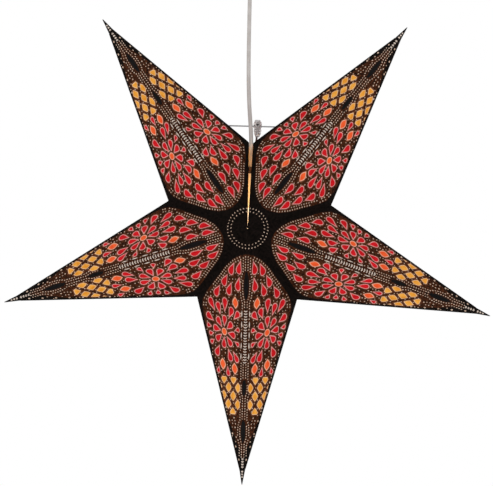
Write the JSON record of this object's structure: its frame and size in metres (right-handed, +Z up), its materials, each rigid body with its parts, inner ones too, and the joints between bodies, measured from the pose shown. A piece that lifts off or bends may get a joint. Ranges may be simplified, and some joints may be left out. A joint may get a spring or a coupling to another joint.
{
  "type": "paper star lantern",
  "caption": "Folding printed paper star lantern hung by its lamp cord from a ceiling rose, with a bulb holder and bulb inside.",
  "frame": {"origin": "middle of the ceiling rose's top face, on the ceiling, midway between its two fixing holes", "axes": "+Z up towards the ceiling; -Y is the side that the star's front faces; +X is to the right seen from the front, along the line of the two fixing holes"},
  "size_m": [0.5984, 0.1758, 0.655],
  "materials": {
    "printed_card": "matt printed card",
    "folded_edge": "dark printed fold",
    "eyelet_metal": "satin",
    "closing_line": "twisted",
    "lock_plastic": "clear grey, glossy",
    "plunger_plastic": "clear grey, glossy",
    "spring_steel": "bright wire",
    "lock_tail": "twisted",
    "cord_sheath": "satin",
    "grip_plastic": "satin",
    "nut_plastic": "satin",
    "holder_plastic": "glossy",
    "insulator_ceramic": "glazed",
    "contact_brass": "satin",
    "lead_sheath": "glossy",
    "bulb_cap_metal": "satin",
    "bulb_black": "glossy",
    "bulb_glass": "clear",
    "filament_wire": "glowing",
    "rose_plastic": "glossy",
    "rose_inner_plastic": "satin",
    "screw_steel": "satin"
  },
  "bodies": {
    "ceiling": {"rose_base": "rose_plastic", "rose_cup": "rose_plastic", "rose_cup_screws": "screw_steel", "rose_collar": "rose_plastic", "rose_cord_clamp": "rose_inner_plastic", "rose_terminal_block": "rose_inner_plastic", "rose_leads": "lead_sheath"},
    "pendant": {"lamp_cord": "cord_sheath", "cord_grip": "grip_plastic", "grip_nut": "nut_plastic", "holder_cap": "holder_plastic", "holder_shell": "holder_plastic", "holder_leads": "lead_sheath", "socket_insulator": "insulator_ceramic", "socket_screw_shell": "contact_brass", "socket_centre_contact": "contact_brass"},
    "bulb": {"bulb_end_contact": "contact_brass", "bulb_insulator": "bulb_black", "bulb_cap": "bulb_cap_metal", "bulb_glass": "bulb_glass", "bulb_stem": "bulb_glass", "bulb_filament": "filament_wire"},
    "left_upper_leaf_a": {"left_upper_leaf_a_crease": "folded_edge"},
    "left_upper_leaf_a_front": {"left_upper_leaf_a_front": "printed_card"},
    "left_upper_leaf_a_back": {"left_upper_leaf_a_back": "printed_card", "left_eyelet": "eyelet_metal", "closing_line_left": "closing_line"},
    "left_upper_leaf_b": {"left_upper_leaf_b_crease": "folded_edge"},
    "left_upper_leaf_b_front": {"left_upper_leaf_b_front": "printed_card"},
    "left_upper_leaf_b_back": {"left_upper_leaf_b_back": "printed_card"},
    "left_lower_leaf_a": {"left_lower_leaf_a_crease": "folded_edge"},
    "left_lower_leaf_a_front": {"left_lower_leaf_a_front": "printed_card"},
    "left_lower_leaf_a_back": {"left_lower_leaf_a_back": "printed_card"},
    "left_lower_leaf_b": {"left_lower_leaf_b_crease": "folded_edge"},
    "left_lower_leaf_b_front": {"left_lower_leaf_b_front": "printed_card"},
    "left_lower_leaf_b_back": {"left_lower_leaf_b_back": "printed_card"},
    "bottom_leaf_a": {"bottom_leaf_a_crease": "folded_edge"},
    "bottom_leaf_a_front": {"bottom_leaf_a_front": "printed_card"},
    "bottom_leaf_a_back": {"bottom_leaf_a_back": "printed_card"},
    "bottom_leaf_b": {"bottom_leaf_b_crease": "folded_edge"},
    "bottom_leaf_b_front": {"bottom_leaf_b_front": "printed_card"},
    "bottom_leaf_b_back": {"bottom_leaf_b_back": "printed_card"},
    "right_lower_leaf_a": {"right_lower_leaf_a_crease": "folded_edge"},
    "right_lower_leaf_a_front": {"right_lower_leaf_a_front": "printed_card"},
    "right_lower_leaf_a_back": {"right_lower_leaf_a_back": "printed_card"},
    "right_lower_leaf_b": {"right_lower_leaf_b_crease": "folded_edge"},
    "right_lower_leaf_b_front": {"right_lower_leaf_b_front": "printed_card"},
    "right_lower_leaf_b_back": {"right_lower_leaf_b_back": "printed_card"},
    "right_upper_leaf_a": {"right_upper_leaf_a_crease": "folded_edge"},
    "right_upper_leaf_a_front": {"right_upper_leaf_a_front": "printed_card"},
    "right_upper_leaf_a_back": {"right_upper_leaf_a_back": "printed_card"},
    "right_upper_leaf_b": {"right_upper_leaf_b_crease": "folded_edge"},
    "right_upper_leaf_b_front": {"right_upper_leaf_b_front": "printed_card"},
    "right_upper_leaf_b_back": {"right_upper_leaf_b_back": "printed_card", "right_eyelet": "eyelet_metal", "closing_line_right": "closing_line", "cord_lock_barrel": "lock_plastic", "cord_lock_spring": "spring_steel", "cord_lock_tail": "lock_tail"},
    "lock_plunger": {"cord_lock_plunger": "plunger_plastic"}
  },
  "joints": [
    {"name": "swivel", "type": "hinge", "parent": "ceiling", "child": "pendant", "pos_m": [0, 0, 0], "axis": [0, 0, 1], "range_deg": [-180, 180]},
    {"name": "bulb_out", "type": "slide", "parent": "pendant", "child": "bulb", "axis": [0, 0, -1], "range_m": [0, 0.018]},
    {"name": "lock_press", "type": "slide", "parent": "right_upper_leaf_b_back", "child": "lock_plunger", "axis": [0, 0, -1], "range_m": [0, 0.0012], "stiffness_N_per_m": 300, "springref_m": -0.004, "deforming": ["cord_lock_spring"]},
    {"name": "first_leaf_turn", "type": "hinge", "parent": "pendant", "child": "bottom_leaf_a", "pos_m": [0.05099, 0, -0.64402], "axis": [0, 1, 0], "range_deg": [0, 14.22]},
    {"name": "bottom_tip_turn", "type": "hinge", "parent": "bottom_leaf_a", "child": "bottom_leaf_b", "pos_m": [0.007, 0, -0.6495], "axis": [0, -1, 0], "range_deg": [0, 28.45]},
    {"name": "star_fold", "type": "hinge", "parent": "bottom_leaf_b", "child": "right_lower_leaf_a", "pos_m": [0.06852, 0, -0.42509], "axis": [0, 1, 0], "range_deg": [0, 92.12]},
    {"name": "right_lower_tip_turn", "type": "hinge", "parent": "right_lower_leaf_a", "child": "right_lower_leaf_b", "pos_m": [0.30089, 0, -0.43704], "axis": [0, -1, 0], "range_deg": [0, 28.45]},
    {"name": "right_valley_turn", "type": "hinge", "parent": "right_lower_leaf_b", "child": "right_upper_leaf_a", "pos_m": [0.10709, 0, -0.30827], "axis": [0, 1, 0], "range_deg": [0, 92.3]},
    {"name": "right_upper_tip_turn", "type": "hinge", "parent": "right_upper_leaf_a", "child": "right_upper_leaf_b", "pos_m": [0.1913, 0, -0.09135], "axis": [0, -1, 0], "range_deg": [0, 28.45]},
    {"name": "bottom_left_valley_turn", "type": "hinge", "parent": "bottom_leaf_a", "child": "left_lower_leaf_b", "pos_m": [-0.05452, 0, -0.42509], "axis": [0, -1, 0], "range_deg": [0, 92.3]},
    {"name": "left_lower_tip_turn", "type": "hinge", "parent": "left_lower_leaf_b", "child": "left_lower_leaf_a", "pos_m": [-0.28689, 0, -0.43704], "axis": [0, 1, 0], "range_deg": [0, 28.45]},
    {"name": "left_valley_turn", "type": "hinge", "parent": "left_lower_leaf_a", "child": "left_upper_leaf_b", "pos_m": [-0.09309, 0, -0.30827], "axis": [0, -1, 0], "range_deg": [0, 92.3]},
    {"name": "left_upper_tip_turn", "type": "hinge", "parent": "left_upper_leaf_b", "child": "left_upper_leaf_a", "pos_m": [-0.1773, 0, -0.09135], "axis": [0, 1, 0], "range_deg": [0, 28.45]},
    {"name": "left_upper_leaf_a_front_turn", "type": "hinge", "parent": "left_upper_leaf_a", "child": "left_upper_leaf_a_front", "pos_m": [0.00575, 0, -0.23501], "axis": [-0.7867, 0, 0.6174], "range_deg": [0, 36.74]},
    {"name": "left_upper_leaf_a_back_turn", "type": "hinge", "parent": "left_upper_leaf_a", "child": "left_upper_leaf_a_back", "pos_m": [0.00575, 0, -0.23501], "axis": [0.7867, 0, -0.6174], "range_deg": [0, 36.74]},
    {"name": "left_upper_leaf_b_front_turn", "type": "hinge", "parent": "left_upper_leaf_b", "child": "left_upper_leaf_b_front", "pos_m": [-0.09309, 0, -0.30827], "axis": [0.3619, 0, -0.9322], "range_deg": [0, 36.74]},
    {"name": "left_upper_leaf_b_back_turn", "type": "hinge", "parent": "left_upper_leaf_b", "child": "left_upper_leaf_b_back", "pos_m": [-0.09309, 0, -0.30827], "axis": [-0.3619, 0, 0.9322], "range_deg": [0, 36.74]},
    {"name": "left_lower_leaf_a_front_turn", "type": "hinge", "parent": "left_lower_leaf_a", "child": "left_lower_leaf_a_front", "pos_m": [-0.09309, 0, -0.30827], "axis": [-0.8329, 0, -0.5534], "range_deg": [0, 36.74]},
    {"name": "left_lower_leaf_a_back_turn", "type": "hinge", "parent": "left_lower_leaf_a", "child": "left_lower_leaf_a_back", "pos_m": [-0.09309, 0, -0.30827], "axis": [0.8329, 0, 0.5534], "range_deg": [0, 36.74]},
    {"name": "left_lower_leaf_b_front_turn", "type": "hinge", "parent": "left_lower_leaf_b", "child": "left_lower_leaf_b_front", "pos_m": [-0.05452, 0, -0.42509], "axis": [0.9987, 0, 0.0513], "range_deg": [0, 36.74]},
    {"name": "left_lower_leaf_b_back_turn", "type": "hinge", "parent": "left_lower_leaf_b", "child": "left_lower_leaf_b_back", "pos_m": [-0.05452, 0, -0.42509], "axis": [-0.9987, 0, -0.0513], "range_deg": [0, 36.74]},
    {"name": "bottom_leaf_a_front_turn", "type": "hinge", "parent": "bottom_leaf_a", "child": "bottom_leaf_a_front", "pos_m": [-0.05452, 0, -0.42509], "axis": [0.2644, 0, -0.9644], "range_deg": [0, 36.74]},
    {"name": "bottom_leaf_a_back_turn", "type": "hinge", "parent": "bottom_leaf_a", "child": "bottom_leaf_a_back", "pos_m": [-0.05452, 0, -0.42509], "axis": [-0.2644, 0, 0.9644], "range_deg": [0, 36.74]},
    {"name": "bottom_leaf_b_front_turn", "type": "hinge", "parent": "bottom_leaf_b", "child": "bottom_leaf_b_front", "pos_m": [0.06852, 0, -0.42509], "axis": [0.2644, 0, 0.9644], "range_deg": [0, 36.74]},
    {"name": "bottom_leaf_b_back_turn", "type": "hinge", "parent": "bottom_leaf_b", "child": "bottom_leaf_b_back", "pos_m": [0.06852, 0, -0.42509], "axis": [-0.2644, 0, -0.9644], "range_deg": [0, 36.74]},
    {"name": "right_lower_leaf_a_front_turn", "type": "hinge", "parent": "right_lower_leaf_a", "child": "right_lower_leaf_a_front", "pos_m": [0.06852, 0, -0.42509], "axis": [0.9987, 0, -0.0513], "range_deg": [0, 36.74]},
    {"name": "right_lower_leaf_a_back_turn", "type": "hinge", "parent": "right_lower_leaf_a", "child": "right_lower_leaf_a_back", "pos_m": [0.06852, 0, -0.42509], "axis": [-0.9987, 0, 0.0513], "range_deg": [0, 36.74]},
    {"name": "right_lower_leaf_b_front_turn", "type": "hinge", "parent": "right_lower_leaf_b", "child": "right_lower_leaf_b_front", "pos_m": [0.10709, 0, -0.30827], "axis": [-0.8329, 0, 0.5534], "range_deg": [0, 36.74]},
    {"name": "right_lower_leaf_b_back_turn", "type": "hinge", "parent": "right_lower_leaf_b", "child": "right_lower_leaf_b_back", "pos_m": [0.10709, 0, -0.30827], "axis": [0.8329, 0, -0.5534], "range_deg": [0, 36.74]},
    {"name": "right_upper_leaf_a_front_turn", "type": "hinge", "parent": "right_upper_leaf_a", "child": "right_upper_leaf_a_front", "pos_m": [0.10709, 0, -0.30827], "axis": [0.3619, 0, 0.9322], "range_deg": [0, 36.74]},
    {"name": "right_upper_leaf_a_back_turn", "type": "hinge", "parent": "right_upper_leaf_a", "child": "right_upper_leaf_a_back", "pos_m": [0.10709, 0, -0.30827], "axis": [-0.3619, 0, -0.9322], "range_deg": [0, 36.74]},
    {"name": "right_upper_leaf_b_front_turn", "type": "hinge", "parent": "right_upper_leaf_b", "child": "right_upper_leaf_b_front", "pos_m": [0.00825, 0, -0.23501], "axis": [-0.7867, 0, -0.6174], "range_deg": [0, 36.74]},
    {"name": "right_upper_leaf_b_back_turn", "type": "hinge", "parent": "right_upper_leaf_b", "child": "right_upper_leaf_b_back", "pos_m": [0.00825, 0, -0.23501], "axis": [0.7867, 0, 0.6174], "range_deg": [0, 36.74]}
  ],
  "couplings": [
    {"joint": "first_leaf_turn", "follows": "star_fold", "ratio": 0.1541},
    {"joint": "bottom_tip_turn", "follows": "star_fold", "ratio": 0.30819},
    {"joint": "right_lower_tip_turn", "follows": "star_fold", "ratio": 0.30819},
    {"joint": "right_valley_turn", "follows": "star_fold", "ratio": 1},
    {"joint": "right_upper_tip_turn", "follows": "star_fold", "ratio": 0.30819},
    {"joint": "bottom_left_valley_turn", "follows": "star_fold", "ratio": 1},
    {"joint": "left_lower_tip_turn", "follows": "star_fold", "ratio": 0.30819},
    {"joint": "left_valley_turn", "follows": "star_fold", "ratio": 1},
    {"joint": "left_upper_tip_turn", "follows": "star_fold", "ratio": 0.30819},
    {"joint": "left_upper_leaf_a_front_turn", "follows": "star_fold", "ratio": 0.39806},
    {"joint": "left_upper_leaf_a_back_turn", "follows": "star_fold", "ratio": 0.39806},
    {"joint": "left_upper_leaf_b_front_turn", "follows": "star_fold", "ratio": 0.39806},
    {"joint": "left_upper_leaf_b_back_turn", "follows": "star_fold", "ratio": 0.39806},
    {"joint": "left_lower_leaf_a_front_turn", "follows": "star_fold", "ratio": 0.39806},
    {"joint": "left_lower_leaf_a_back_turn", "follows": "star_fold", "ratio": 0.39806},
    {"joint": "left_lower_leaf_b_front_turn", "follows": "star_fold", "ratio": 0.39806},
    {"joint": "left_lower_leaf_b_back_turn", "follows": "star_fold", "ratio": 0.39806},
    {"joint": "bottom_leaf_a_front_turn", "follows": "star_fold", "ratio": 0.39806},
    {"joint": "bottom_leaf_a_back_turn", "follows": "star_fold", "ratio": 0.39806},
    {"joint": "bottom_leaf_b_front_turn", "follows": "star_fold", "ratio": 0.39806},
    {"joint": "bottom_leaf_b_back_turn", "follows": "star_fold", "ratio": 0.39806},
    {"joint": "right_lower_leaf_a_front_turn", "follows": "star_fold", "ratio": 0.39806},
    {"joint": "right_lower_leaf_a_back_turn", "follows": "star_fold", "ratio": 0.39806},
    {"joint": "right_lower_leaf_b_front_turn", "follows": "star_fold", "ratio": 0.39806},
    {"joint": "right_lower_leaf_b_back_turn", "follows": "star_fold", "ratio": 0.39806},
    {"joint": "right_upper_leaf_a_front_turn", "follows": "star_fold", "ratio": 0.39806},
    {"joint": "right_upper_leaf_a_back_turn", "follows": "star_fold", "ratio": 0.39806},
    {"joint": "right_upper_leaf_b_front_turn", "follows": "star_fold", "ratio": 0.39806},
    {"joint": "right_upper_leaf_b_back_turn", "follows": "star_fold", "ratio": 0.39806}
  ]
}
